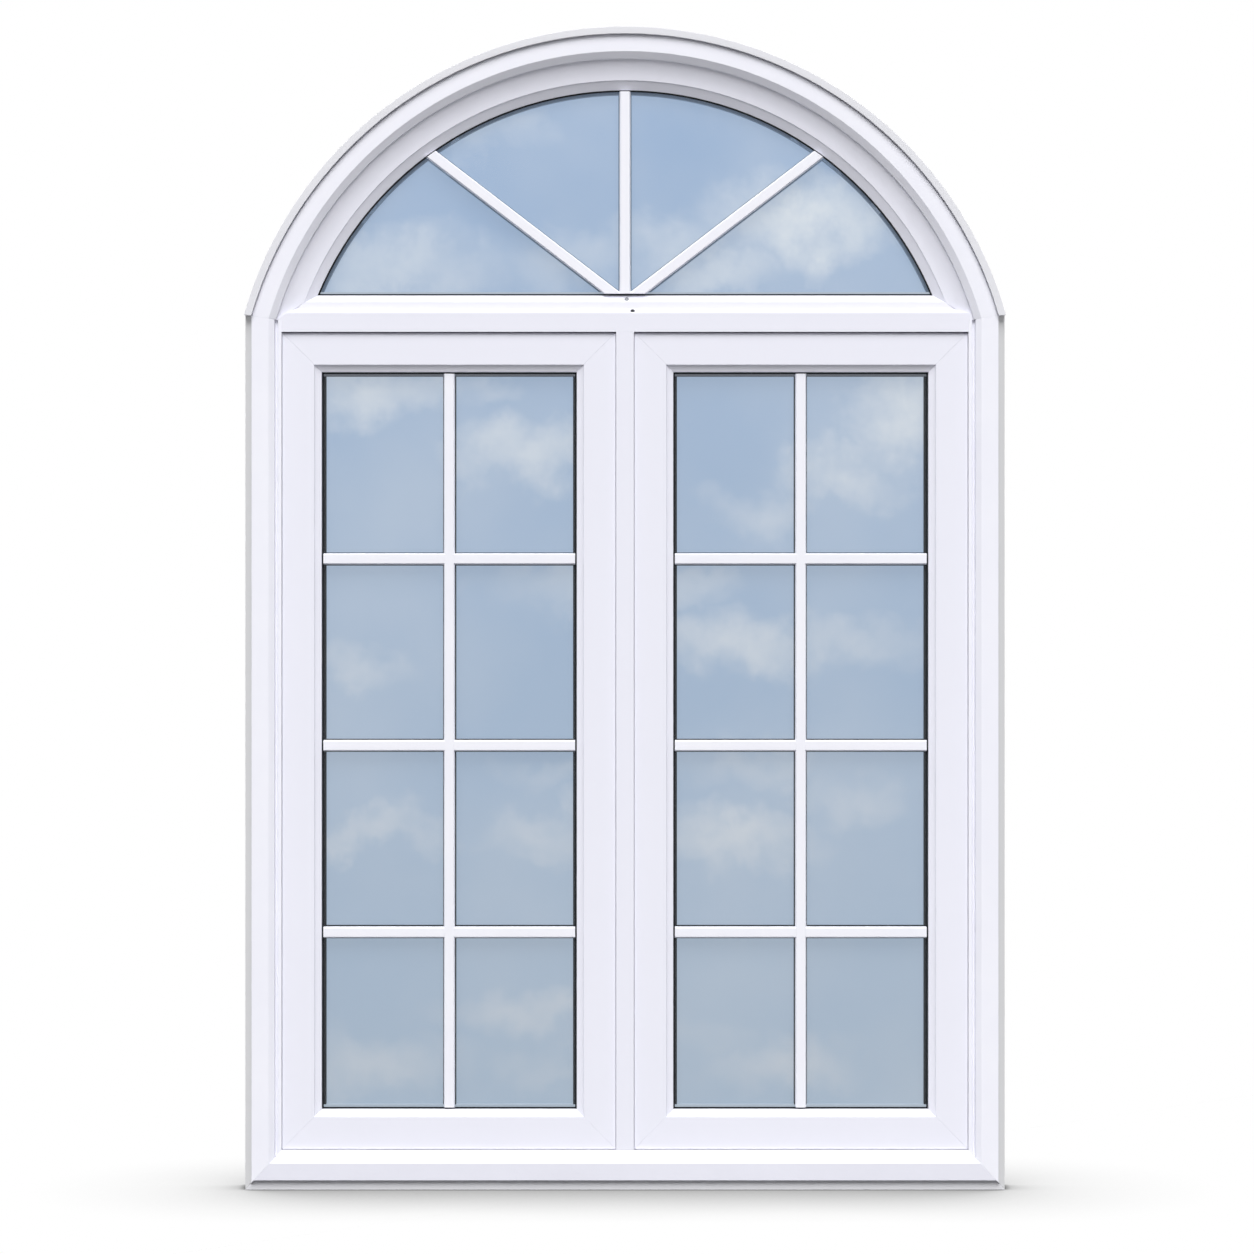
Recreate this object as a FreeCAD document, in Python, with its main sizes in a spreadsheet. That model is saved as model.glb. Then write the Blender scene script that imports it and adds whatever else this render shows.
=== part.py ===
import FreeCAD, Part
import math
import os
import Sketcher

# Arched window: outer frame with a bent head, two casement sashes, and a fixed fanlight.
# X runs to the right, the outside faces -Y, Z is up; the origin is the middle of the sill's underside.

SIZES = [
    ("overall_width", 1400.0, "outer width of the frame"),
    ("springing_height", 1610.0, "height where jamb and arch meet"),
    ("arch_rise", 530.0, "rise of the arch above the springing"),
    ("frame_depth", 75.0, "frame depth, outside to inside"),
    ("lip_width", 13.0, "outer lip of jambs and head"),
    ("sill_lip_width", 18.4, "outer lip of the sill"),
    ("lip_edge_depth", 18.0, "jamb lip set-back at the outer edge"),
    ("lip_step", 6.0, "jamb lip set-back beside the face"),
    ("sill_lip_step", 10.0, "sill lip set-back under the face"),
    ("sill_lip_depth", 8.5, "sill lip set-back at the foot"),
    ("head_lip_proud", 7.0, "head lip standing in front of the face"),
    ("lip_groove_width", 1.6, "groove beside the head lip"),
    ("lip_groove_depth", 3.0, "depth of the groove beside the head lip"),
    ("face_width", 31.5, "flat face of the frame"),
    ("bevel_width", 12.5, "bevel beside the face"),
    ("bevel_depth", 9.0, "depth the bevel falls to"),
    ("ledge_width", 10.3, "ledge between bevel and sash"),
    ("ledge_depth", 12.0, "depth of the sill ledge edge, transom and mullion"),
    ("jamb_bevel_share", 0.8, "share of the bevel that the jambs have"),
    ("jamb_groove_width", 4.6, "floor of the groove beside the jamb bevel"),
    ("jamb_groove_depth", 17.0, "depth of the groove floor"),
    ("jamb_groove_draft", 0.8, "slope of each groove wall"),
    ("stop_height", 12.0, "inner stop above the sash rebate"),
    ("stop_depth", 8.0, "thickness of the inner stop"),
    ("mullion_width", 33.0, "mullion face"),
    ("transom_face", 34.6, "transom face"),
    ("transom_over_springing", 4.8, "transom face edge above the springing"),
    ("sash_gap", 0.6, "gap between sash and frame"),
    ("sash_head_gap", 1.2, "gap above the sashes"),
    ("sash_foot_gap", 1.2, "gap below the sashes"),
    ("head_step_width", 3.0, "step along the top edge of a sash"),
    ("head_step_depth", 3.5, "depth of the step along the top edge"),
    ("sash_inset", 6.0, "sash face behind the transom face"),
    ("sash_face", 59.0, "flat face of a sash rail"),
    ("quirk", 2.0, "small step beside the sash face"),
    ("leg_width", 13.0, "glazing leg of a sash rail"),
    ("leg_edge_depth", 27.0, "depth of the glazing leg at its edge"),
    ("leg_cove_radius", 24.0, "hollow of the glazing leg"),
    ("seat_depth", 37.0, "frame back to the seat for the outer gasket"),
    ("outer_gasket", 2.5, "outer gasket thickness"),
    ("inner_gasket", 2.0, "inner gasket thickness"),
    ("gasket_nose", 3.0, "gasket showing past the leg"),
    ("gasket_inset", 1.0, "gasket edge inside the glass edge"),
    ("pane_thickness", 4.0, "one pane of glass"),
    ("cavity", 12.0, "gap between the panes"),
    ("glass_cover", 8.5, "glass behind the leg"),
    ("glass_clearance", 2.0, "glass edge to rebate floor"),
    ("spacer_margin", 3.0, "spacer inside the glass edge"),
    ("spacer_width", 12.5, "width of the spacer bar"),
    ("spacer_grid", 24.0, "width of the spacer behind a glazing bar"),
    ("seal_thickness", 3.0, "weather seal between sash and stop"),
    ("seal_margin", 2.0, "seal inside the sash edge"),
    ("seal_width", 6.0, "width of the weather seal"),
    ("bead_proud", 2.0, "bead behind the sash back"),
    ("bead_flat", 3.5, "flat back of the bead"),
    ("bead_edge", 1.5, "thin edge of the bead"),
    ("cove_width", 38.0, "hollow of the fanlight moulding"),
    ("cove_step", 4.0, "step from the head bevel down to the hollow"),
    ("cove_end_depth", 13.0, "gasket seat to the end of the hollow"),
    ("cove_ease", 1.3, "hollow radius over one that ends square to the view"),
    ("moulding_step", 1.5, "step between hollow and nose"),
    ("nose_width", 16.5, "nose of the arch moulding"),
    ("nose_edge_depth", 1.5, "gasket seat to the nose edge"),
    ("low_bevel_height", 8.2, "bevel of the bottom moulding"),
    ("low_bevel_depth", 12.8, "gasket seat to the end of the bottom bevel"),
    ("low_band_height", 13.6, "band of the bottom moulding"),
    ("low_nose_height", 12.4, "nose of the bottom moulding"),
    ("bar_width", 20.5, "glazing bar at the glass"),
    ("bar_flat", 16.5, "flat front of a glazing bar"),
    ("bar_height", 12.0, "glazing bar standing off the glass"),
    ("bar_side", 7.5, "upright side of a glazing bar"),
    ("upper_row_share", 0.2534, "share of the sash opening in one upper row"),
    ("hub_drop", 14.0, "meeting point of the radial bars under the sight line"),
    ("radial_angle", 37.5, "radial bar angle above level, degrees"),
    ("handle_height", 0.5, "handle position as a share of the sash height"),
    ("rose_width", 26.0, "handle plate width"),
    ("rose_length", 68.0, "handle plate length"),
    ("rose_thickness", 9.0, "handle plate thickness"),
    ("neck_radius", 8.0, "handle neck radius"),
    ("neck_length", 18.0, "handle neck length"),
    ("lever_width", 17.0, "handle lever width"),
    ("lever_length", 118.0, "handle lever length below the neck"),
    ("lever_thickness", 11.0, "handle lever thickness"),
]

doc = FreeCAD.newDocument("arched_top_window_frame")
sheet = doc.addObject("Spreadsheet::Sheet", "Sizes")
derived = doc.addObject("App::VarSet", "Derived")


class Size:
    """A length and the formula that drives it."""

    def __init__(self, number, formula):
        self.number = float(number)
        self.formula = formula

    def __add__(self, other):
        other = as_size(other)
        return Size(self.number + other.number, f"({self.formula} + {other.formula})")

    def __sub__(self, other):
        other = as_size(other)
        return Size(self.number - other.number, f"({self.formula} - {other.formula})")

    def __mul__(self, other):
        other = as_size(other)
        return Size(self.number * other.number, f"({self.formula} * {other.formula})")

    def __truediv__(self, other):
        other = as_size(other)
        return Size(self.number / other.number, f"({self.formula} / {other.formula})")

    def __neg__(self):
        return Size(-self.number, f"(-1 * {self.formula})")


def as_size(value):
    return value if isinstance(value, Size) else Size(value, repr(float(value)))


def root(value):
    return Size(math.sqrt(value.number), f"sqrt({value.formula})")


def derive(name, size):
    """Keep a computed size under a name of its own."""
    derived.addProperty("App::PropertyFloat", name, "Derived", "")
    derived.setExpression(name, size.formula)
    return Size(size.number, f"Derived.{name}")


size_of = {}
for row, (alias, number, note) in enumerate(SIZES, start=1):
    sheet.set(f"A{row}", note)
    sheet.set(f"B{row}", str(number))
    sheet.setAlias(f"B{row}", alias)
    size_of[alias] = Size(number, f"Sizes.{alias}")
doc.recompute()

ZERO = as_size(0)


def plane_of(body, role):
    return next(item for item in body.Origin.OriginFeatures if item.Role == role)


def new_body(label, place=(0, 0, 0), axis=(0, 1, 0), turn=0.0):
    """An empty body, turned about an axis and set down at three sizes."""
    body = doc.addObject("PartDesign::Body", label)
    body.Label = label
    place = [as_size(value) for value in place]
    base = FreeCAD.Vector(*(value.number for value in place))
    body.Placement = FreeCAD.Placement(base, FreeCAD.Rotation(FreeCAD.Vector(*axis), turn))
    for letter, value in zip("xyz", place):
        body.setExpression(f"Placement.Base.{letter}", value.formula)
    return body


def new_sketch(body, role, offset=None):
    sketch = body.newObject("Sketcher::SketchObject", f"{body.Name}_sketch")
    sketch.AttachmentSupport = [(plane_of(body, role), "")]
    sketch.MapMode = "FlatFace"
    if offset is not None:
        sketch.AttachmentOffset = FreeCAD.Placement(FreeCAD.Vector(0, 0, offset.number), FreeCAD.Rotation())
        sketch.setExpression("AttachmentOffset.Base.z", offset.formula)
    return sketch


def bind(sketch, constraint, formula):
    index = sketch.addConstraint(constraint)
    sketch.setExpression(f"Constraints[{index}]", formula)


def pin(sketch, edge, end, across, up):
    """Hold a corner at two sizes from the sketch origin."""
    for kind, axis_line, value in (("DistanceX", -2, across), ("DistanceY", -1, up)):
        if value.formula == ZERO.formula:
            sketch.addConstraint(Sketcher.Constraint("PointOnObject", edge, end, axis_line))
        else:
            bind(sketch, Sketcher.Constraint(kind, -1, 1, edge, end, value.number), value.formula)


def arc_between(start, end, radius, bulge):
    """Arc from start to end with its centre on the left (bulge 1) or right (-1) of that line."""
    chord = end - start
    middle = (start + end) / 2
    left = FreeCAD.Vector(-chord.y, chord.x, 0).normalize()
    centre = middle + left * bulge * math.sqrt(radius ** 2 - chord.Length ** 2 / 4)
    first, last = (start, end) if bulge > 0 else (end, start)
    angles = [math.atan2(p.y - centre.y, p.x - centre.x) for p in (first, last)]
    if angles[1] < angles[0]:
        angles[1] += 2 * math.pi
    return Part.ArcOfCircle(Part.Circle(centre, FreeCAD.Vector(0, 0, 1), radius), *angles)


def draw_outline(sketch, corners, arcs=None):
    """Closed outline through sized corners; arcs gives (radius, bulge) for the edge after a corner."""
    arcs = arcs or {}
    spots = [FreeCAD.Vector(a.number, b.number, 0) for a, b in corners]
    edges = []
    for index, start in enumerate(spots):
        end = spots[(index + 1) % len(spots)]
        if index in arcs:
            radius, bulge = arcs[index]
            edge = sketch.addGeometry(arc_between(start, end, radius.number, bulge), False)
            edges.append((edge, 1, 2) if bulge > 0 else (edge, 2, 1))
            bind(sketch, Sketcher.Constraint("Radius", edge, radius.number), radius.formula)
        else:
            edges.append((sketch.addGeometry(Part.LineSegment(start, end), False), 1, 2))
    for index, (edge, first, last) in enumerate(edges):
        following = edges[(index + 1) % len(edges)]
        sketch.addConstraint(Sketcher.Constraint("Coincident", edge, last, following[0], following[1]))
        pin(sketch, edge, first, *corners[index])


def draw_segment(sketch, radius, level):
    """Circle segment about the sketch origin, closed by a level chord."""
    low = math.asin(level.number / radius.number)
    half = radius.number * math.cos(low)
    circle = Part.Circle(FreeCAD.Vector(0, 0, 0), FreeCAD.Vector(0, 0, 1), radius.number)
    arc = sketch.addGeometry(Part.ArcOfCircle(circle, low, math.pi - low), False)
    ends = (FreeCAD.Vector(-half, level.number, 0), FreeCAD.Vector(half, level.number, 0))
    chord = sketch.addGeometry(Part.LineSegment(*ends), False)
    sketch.addConstraint(Sketcher.Constraint("Coincident", arc, 3, -1, 1))
    sketch.addConstraint(Sketcher.Constraint("Coincident", arc, 2, chord, 1))
    sketch.addConstraint(Sketcher.Constraint("Coincident", chord, 2, arc, 1))
    sketch.addConstraint(Sketcher.Constraint("Horizontal", chord))
    bind(sketch, Sketcher.Constraint("Radius", arc, radius.number), radius.formula)
    bind(sketch, Sketcher.Constraint("DistanceY", -1, 1, chord, 1, level.number), level.formula)


def add_feature(body, kind, sketch, **settings):
    """A pad, pocket or revolution; settings that are sizes are bound to their formula."""
    feature = body.newObject(f"PartDesign::{kind}", f"{body.Name}_{kind.lower()}")
    feature.Profile = sketch
    for name, value in settings.items():
        if isinstance(value, Size):
            setattr(feature, name, value.number)
            feature.setExpression(name, value.formula)
        else:
            setattr(feature, name, value)
    doc.recompute()
    return feature


def pad(body, sketch, length, midplane=True):
    return add_feature(body, "Pad", sketch, Length=length, Midplane=midplane)


def cut_through(body, sketch):
    before = body.Shape.Volume
    feature = add_feature(body, "Pocket", sketch, Type="ThroughAll", Midplane=True)
    if not 0 < body.Shape.Volume < before:
        raise RuntimeError(f"{body.Label}: the cut missed the solid")
    return feature


def boolean(kind, label, base, tool):
    result = doc.addObject(f"Part::{kind}", label)
    result.Label = label
    result.Base = base
    result.Tool = tool
    doc.recompute()
    return result


def less(label, base, tools):
    """Cut several tools from a base, one after the other."""
    for index, tool in enumerate(tools):
        last = index == len(tools) - 1
        base = boolean("Cut", label if last else f"{label}_cut_{index}", base, tool)
    return base


nodes = {}


def keep(piece):
    nodes[piece.Label] = piece
    return piece


# Named sizes
overall_width = size_of["overall_width"]
frame_depth = size_of["frame_depth"]
springing = size_of["springing_height"]
rise = size_of["arch_rise"]
gap = size_of["sash_gap"]
stop_height = size_of["stop_height"]
half_width = derive("half_width", overall_width / 2)
arch_radius = derive("arch_radius", (half_width * half_width + rise * rise) / (rise * 2))
arch_centre = derive("arch_centre", springing + rise - arch_radius)
springing_fall = derive("springing_fall", (springing - arch_centre) / (arch_radius + half_width))

jamb_face_edge = size_of["lip_width"] + size_of["face_width"]
jamb_bevel_edge = derive("jamb_bevel_edge", jamb_face_edge + size_of["bevel_width"])
jamb_sight = derive("jamb_sight", jamb_bevel_edge + size_of["ledge_width"])
sill_top = derive("sill_top", jamb_sight - size_of["lip_width"] + size_of["sill_lip_width"])
stop_front = derive("stop_front", frame_depth - size_of["stop_depth"])
half_mullion = derive("half_mullion", size_of["mullion_width"] / 2)
transom_top = derive("transom_top", springing + size_of["transom_over_springing"])
transom_foot = derive("transom_foot", transom_top - size_of["transom_face"])

sash_left = derive("sash_left", half_width - jamb_sight - gap)
sash_right = derive("sash_right", half_mullion + gap)
sash_foot = derive("sash_foot", sill_top + size_of["sash_foot_gap"])
sash_head = derive("sash_head", transom_foot - size_of["sash_head_gap"])
sash_width = derive("sash_width", sash_left - sash_right)
sash_height = derive("sash_height", sash_head - sash_foot)
sash_centre = derive("sash_centre", (sash_left + sash_right) / 2)
sash_middle = derive("sash_middle", (sash_head + sash_foot) / 2)
sash_front = derive("sash_front", size_of["ledge_depth"] + size_of["sash_inset"])
sash_back = derive("sash_back", stop_front - size_of["seal_thickness"])
leg_edge = derive("leg_edge", size_of["sash_face"] + size_of["leg_width"])
glass_edge = derive("glass_edge", leg_edge - size_of["glass_cover"])
rebate_floor = derive("rebate_floor", glass_edge - size_of["glass_clearance"])

seat = derive("seat", frame_depth - size_of["seat_depth"])
pane = size_of["pane_thickness"]
glass_front = derive("glass_front", seat + size_of["outer_gasket"])
cavity_front = derive("cavity_front", glass_front + pane)
cavity_back = derive("cavity_back", cavity_front + size_of["cavity"])
glass_back = derive("glass_back", cavity_back + pane)
bead_seat = derive("bead_seat", glass_back + size_of["inner_gasket"])

fan_cove_edge = derive("fan_cove_edge", jamb_bevel_edge + size_of["cove_width"])
fan_sight = derive("fan_sight", fan_cove_edge + size_of["nose_width"])
fan_glass_edge = derive("fan_glass_edge", fan_sight - size_of["glass_cover"])
fan_floor = derive("fan_floor", fan_glass_edge - size_of["glass_clearance"])
low_bevel_top = derive("low_bevel_top", transom_top + size_of["low_bevel_height"])
low_band_top = derive("low_band_top", low_bevel_top + size_of["low_band_height"])
low_sight = derive("low_sight", low_band_top + size_of["low_nose_height"])
low_glass_edge = derive("low_glass_edge", low_sight - size_of["glass_cover"])
low_floor = derive("low_floor", low_glass_edge - size_of["glass_clearance"])


def at_depth(depth):
    """Depth behind the frame's face as a Y coordinate."""
    return depth - frame_depth / 2


def section(points, start=ZERO, direction=1):
    """(width, depth) corners as sketch corners (Y, Z), measured from a starting height."""
    return [(at_depth(as_size(depth)), start + as_size(width) * direction) for width, depth in points]


def mitred_rail(label, corners, length, height, slopes, place, turn, arcs=None):
    """Straight bar along local X with its section in YZ; slopes give the end run per width."""
    body = new_body(label, place, turn=turn)
    profile = new_sketch(body, "YZ_Plane")
    draw_outline(profile, corners, arcs)
    pad(body, profile, length)
    mitres = new_sketch(body, "XZ_Plane")
    over = height * 1.2
    under = height * 0.1
    half = length / 2
    far = half + height
    for sign, slope in zip((1, -1), slopes):
        draw_outline(mitres, [
            ((half + under * slope) * sign, -under),
            ((half - over * slope) * sign, over),
            (far * sign, over),
            (far * sign, -under),
        ])
    cut_through(body, mitres)
    return body


# Outer frame
bevel_depth = size_of["bevel_depth"]
ledge_depth = size_of["ledge_depth"]


def rail_section(lip, lip_edge_depth, lip_step, ledge):
    """Lip, face, bevel and ledge as given, sash rebate and inner stop, from the outer edge inwards."""
    face_edge = lip + size_of["face_width"]
    sight = ledge[-1][0]
    return section([
        (0, frame_depth),
        (0, lip_edge_depth),
        (lip, lip_step),
        (lip, 0),
        (face_edge, 0),
        *ledge,
        (sight, stop_front),
        (sight + stop_height, stop_front),
        (sight + stop_height, frame_depth),
    ])


sill_slope = jamb_sight / sill_top
sill_bevel_edge = sill_top - size_of["ledge_width"]
sill_section = rail_section(size_of["sill_lip_width"], size_of["sill_lip_depth"], size_of["sill_lip_step"],
                            [(sill_bevel_edge, bevel_depth), (sill_top, ledge_depth)])
keep(mitred_rail("sill_rail", sill_section, overall_width, sill_top + stop_height,
                 (sill_slope, sill_slope), (0, 0, 0), 0))
groove_start = jamb_face_edge + size_of["bevel_width"] * size_of["jamb_bevel_share"]
groove_floor = groove_start + size_of["jamb_groove_draft"]
groove_end = groove_floor + size_of["jamb_groove_width"]
jamb_section = rail_section(size_of["lip_width"], size_of["lip_edge_depth"], size_of["lip_step"], [
    (groove_start, bevel_depth * size_of["jamb_bevel_share"]),
    (groove_floor, size_of["jamb_groove_depth"]),
    (groove_end, size_of["jamb_groove_depth"]),
    (groove_end + size_of["jamb_groove_draft"], ledge_depth),
    (jamb_sight, ledge_depth),
])
jamb_height = jamb_sight + stop_height
jambs = []
for side, sign in (("left", -1), ("right", 1)):
    slopes = (sill_top / jamb_sight, springing_fall)
    jambs.append(keep(mitred_rail(f"{side}_jamb", jamb_section, springing, jamb_height,
                                  slopes if sign < 0 else slopes[::-1],
                                  (half_width * sign, 0, springing / 2), -90 * sign)))


def bent_rail(label, corners, cut_corners, arcs=None):
    """Section turned about the arch centre, its ends trimmed below a line of corners."""
    body = new_body(label, (0, 0, arch_centre))
    profile = new_sketch(body, "YZ_Plane")
    draw_outline(profile, corners, arcs)
    add_feature(body, "Revolution", profile, ReferenceAxis=(plane_of(body, "Y_Axis"), [""]),
                Angle=180.0, Midplane=True)
    ends = new_sketch(body, "XZ_Plane")
    mirrored = [(-across, up) for across, up in reversed(cut_corners)]
    draw_outline(ends, cut_corners + mirrored)
    cut_through(body, ends)
    return keep(body)


springing_level = springing - arch_centre
inner_reach = fan_sight * 1.2
outer_reach = half_width * 0.1
head_lip = size_of["head_lip_proud"]
lip_width = size_of["lip_width"]
groove_edge = lip_width + size_of["lip_groove_width"]
head = bent_rail(
    "arched_head",
    section([
        (0, frame_depth),
        (0, -head_lip),
        (lip_width, -head_lip),
        (lip_width, size_of["lip_groove_depth"]),
        (groove_edge, size_of["lip_groove_depth"]),
        (groove_edge, 0),
        (jamb_face_edge, 0),
        (jamb_bevel_edge, bevel_depth),
        (jamb_bevel_edge, seat),
        (fan_floor, seat),
        (fan_floor, bead_seat),
        (fan_sight, bead_seat),
        (fan_sight, frame_depth),
    ], arch_radius, -1),
    [
        (-half_width - outer_reach, -outer_reach),
        (-half_width - outer_reach, springing_level + outer_reach * springing_fall),
        (-half_width + inner_reach, springing_level - inner_reach * springing_fall),
    ])

# Fanlight corner mitre: from the sight line down to the point where head, jamb and transom meet
sight_radius = derive("sight_radius", arch_radius - fan_sight)
cove_outer_radius = derive("cove_outer_radius", arch_radius - jamb_bevel_edge)
sight_level = derive("sight_level", low_sight - arch_centre)
foot_level = derive("foot_level", springing_level - jamb_bevel_edge * springing_fall)
sight_corner = derive("sight_corner", root(sight_radius * sight_radius - sight_level * sight_level))
foot_corner = derive("foot_corner", root(cove_outer_radius * cove_outer_radius - foot_level * foot_level))
mitre_run = derive("mitre_run", foot_corner - sight_corner)
mitre_rise = derive("mitre_rise", sight_level - foot_level)


def draw_corner_waste(sketch):
    """The two corners that lie above the mitres."""
    foot = foot_level + arch_centre
    for sign in (-1, 1):
        draw_outline(sketch, [
            ((foot_corner + mitre_run * 0.2) * sign, foot - mitre_rise * 0.2),
            ((sight_corner - mitre_run * 0.1) * sign, low_sight + mitre_rise * 0.1),
            ((foot_corner + mitre_run * 0.5) * sign, low_sight + mitre_rise * 0.1),
        ])


# Transom and mullion
corner_waste = new_body("corner_waste")
waste_outline = new_sketch(corner_waste, "XZ_Plane", -at_depth(seat / 2))
draw_corner_waste(waste_outline)
pad(corner_waste, waste_outline, seat)
jamb_room = new_body("jamb_room")
room_outline = new_sketch(jamb_room, "XZ_Plane", -at_depth(seat / 2))
room_low = transom_foot - stop_height * 1.5
for sign in (-1, 1):
    room_outer = half_width - jamb_face_edge
    room_inner = half_width - jamb_sight
    draw_outline(room_outline, [
        (room_inner * sign, room_low),
        (room_inner * sign, springing - jamb_sight * springing_fall),
        (room_outer * sign, springing - jamb_face_edge * springing_fall),
        (room_outer * sign, room_low),
    ])
pad(jamb_room, room_outline, seat)
transom_blank = new_body("transom_blank")
transom_profile = new_sketch(transom_blank, "YZ_Plane")
draw_outline(transom_profile, section([
    (transom_foot, ledge_depth),
    (transom_top, ledge_depth),
    (transom_top, seat),
    (low_floor, seat),
    (low_floor, bead_seat),
    (low_sight, bead_seat),
    (low_sight, frame_depth),
    (transom_foot - stop_height, frame_depth),
    (transom_foot - stop_height, stop_front),
    (transom_foot, stop_front),
]))
pad(transom_blank, transom_profile, overall_width - jamb_bevel_edge * 1.8)
keep(less("transom", transom_blank, [head, corner_waste, jamb_room] + jambs))

mullion = new_body("mullion")
for low, high, half, front, back in (
    (sill_top, transom_foot, half_mullion, ledge_depth, stop_front),
    (sill_top + stop_height, transom_foot - stop_height, half_mullion + stop_height, stop_front, frame_depth),
):
    upright = new_sketch(mullion, "XZ_Plane", -at_depth((front + back) / 2))
    draw_outline(upright, [(-half, low), (half, low), (half, high), (-half, high)])
    pad(mullion, upright, back - front)
keep(mullion)

# Fanlight mouldings
cove_start = bevel_depth + size_of["cove_step"]
cove_end = derive("cove_end", seat - size_of["cove_end_depth"])
cove_fall = cove_end - cove_start
cove_width = size_of["cove_width"]
tangent_radius = (cove_width * cove_width + cove_fall * cove_fall) / (cove_fall * 2)
cove_radius = derive("cove_radius", tangent_radius * size_of["cove_ease"])
nose_start = cove_end + size_of["moulding_step"]
nose_edge = derive("nose_edge", seat - size_of["nose_edge_depth"])
bent_rail(
    "fanlight_arch_moulding",
    section([
        (jamb_bevel_edge, cove_start),
        (fan_cove_edge, cove_end),
        (fan_cove_edge, nose_start),
        (fan_sight, nose_edge),
        (fan_sight, seat),
        (jamb_bevel_edge, seat),
    ], arch_radius, -1),
    [
        (-foot_corner - mitre_run, -outer_reach),
        (-foot_corner - mitre_run, foot_level - mitre_rise),
        (-sight_corner + mitre_run, sight_level + mitre_rise),
    ],
    {0: (cove_radius, -1)})

bottom_moulding = new_body("fanlight_bottom_moulding")
bottom_profile = new_sketch(bottom_moulding, "YZ_Plane")
draw_outline(bottom_profile, section([
    (transom_top, ledge_depth),
    (low_bevel_top, seat - size_of["low_bevel_depth"]),
    (low_band_top, cove_end),
    (low_band_top, nose_start),
    (low_sight, nose_edge),
    (low_sight, seat),
    (transom_top, seat),
]))
pad(bottom_moulding, bottom_profile, foot_corner * 2)
bottom_ends = new_sketch(bottom_moulding, "XZ_Plane")
draw_corner_waste(bottom_ends)
cut_through(bottom_moulding, bottom_ends)
keep(bottom_moulding)


# Glazing: panes, spacer bars, gaskets and glazing bars
def flat_pieces(label, place, draw, layers):
    """Plates or rings lying between two depths; each layer is (front, back, outer, inner)."""
    body = new_body(label, place)
    for front, back, outer, inner in layers:
        sheet_sketch = new_sketch(body, "XZ_Plane", -at_depth((front + back) / 2))
        draw(sheet_sketch, outer)
        if inner is not None:
            draw(sheet_sketch, inner)
        pad(body, sheet_sketch, back - front)
    return keep(body)


def draw_rectangle(sketch, left, low, right, high):
    draw_outline(sketch, [(left, low), (right, low), (right, high), (left, high)])


def draw_sash_rectangle(sketch, inset):
    across = sash_width / 2 - inset
    up = sash_height / 2 - inset
    draw_rectangle(sketch, -across, -up, across, up)


def sash_spacer(label, place):
    """Spacer round a sash unit, with a grid behind the glazing bars."""
    body = new_body(label, place)
    grid = new_sketch(body, "XZ_Plane", -at_depth((cavity_front + cavity_back) / 2))
    outer = glass_edge + size_of["spacer_margin"]
    inner = outer + size_of["spacer_width"]
    draw_sash_rectangle(grid, outer)
    half_grid = size_of["spacer_grid"] / 2
    across = sash_width / 2 - inner
    up = sash_height / 2 - inner
    bars = [lowest_bar + row_pitch * row for row in range(3)]
    lows = [-up] + [bar + half_grid for bar in bars]
    highs = [bar - half_grid for bar in bars] + [up]
    for low, high in zip(lows, highs):
        draw_rectangle(grid, -across, low, -half_grid, high)
        draw_rectangle(grid, half_grid, low, across, high)
    pad(body, grid, cavity_back - cavity_front)
    return keep(body)


def draw_fan_segment(sketch, inset):
    """Segment inside the arch by an inset from the fanlight's sight line."""
    draw_segment(sketch, sight_radius - inset, sight_level + inset)


def glaze(name, place, draw, glass_inset, sight_inset):
    """Panes and gaskets of one unit."""
    gasket_outer = glass_inset + size_of["gasket_inset"]
    nose = sight_inset + size_of["gasket_nose"]
    flat_pieces(f"{name}_outer_pane", place, draw, [(glass_front, cavity_front, glass_inset, None)])
    flat_pieces(f"{name}_inner_pane", place, draw, [(cavity_back, glass_back, glass_inset, None)])
    flat_pieces(f"{name}_gaskets", place, draw, [
        (seat, glass_front, gasket_outer, nose),
        (glass_back, bead_seat, gasket_outer, nose - size_of["gasket_nose"] / 2),
    ])


def bar_corners(middle, mirrored):
    """Section of the outer and inner glazing bars on both faces of the glass."""
    half = size_of["bar_width"] / 2
    flat = size_of["bar_flat"] / 2
    outer = [
        (-half, glass_front),
        (-half, glass_front - size_of["bar_side"]),
        (-flat, glass_front - size_of["bar_height"]),
        (flat, glass_front - size_of["bar_height"]),
        (half, glass_front - size_of["bar_side"]),
        (half, glass_front),
    ]
    inner = [(across, glass_front + glass_back - depth) for across, depth in outer]
    both = []
    for corners in (outer, inner):
        placed = [(middle + across, at_depth(depth)) for across, depth in corners]
        both.append([(depth, across) for across, depth in placed] if mirrored else placed)
    return both


nose_inset = derive("nose_inset", leg_edge + size_of["gasket_nose"])
clear_width = derive("clear_width", sash_width - nose_inset * 2)
clear_height = derive("clear_height", sash_height - nose_inset * 2)
row_pitch = derive("row_pitch", (sash_height - leg_edge * 2) * size_of["upper_row_share"])
lowest_bar = derive("lowest_bar", sash_height / 2 - leg_edge - row_pitch * 3)
sash_profile = [
    (size_of["sash_face"], sash_front),
    (size_of["sash_face"], sash_front + size_of["quirk"]),
    (leg_edge, size_of["leg_edge_depth"]),
    (leg_edge, seat),
    (rebate_floor, seat),
    (rebate_floor, sash_back),
    (0, sash_back),
]
leg_hollow = (size_of["leg_cove_radius"], 1)
sash_section = section([(0, sash_front), *sash_profile])
head_step_floor = sash_front + size_of["head_step_depth"]
top_section = section([
    (0, head_step_floor),
    (size_of["head_step_width"], head_step_floor),
    (size_of["head_step_width"], sash_front),
    *sash_profile,
])
bead_section = section([
    (rebate_floor, bead_seat),
    (leg_edge, bead_seat),
    (leg_edge, bead_seat + size_of["bead_edge"]),
    (rebate_floor + size_of["bead_flat"], sash_back + size_of["bead_proud"]),
    (rebate_floor, sash_back + size_of["bead_proud"]),
])


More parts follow.
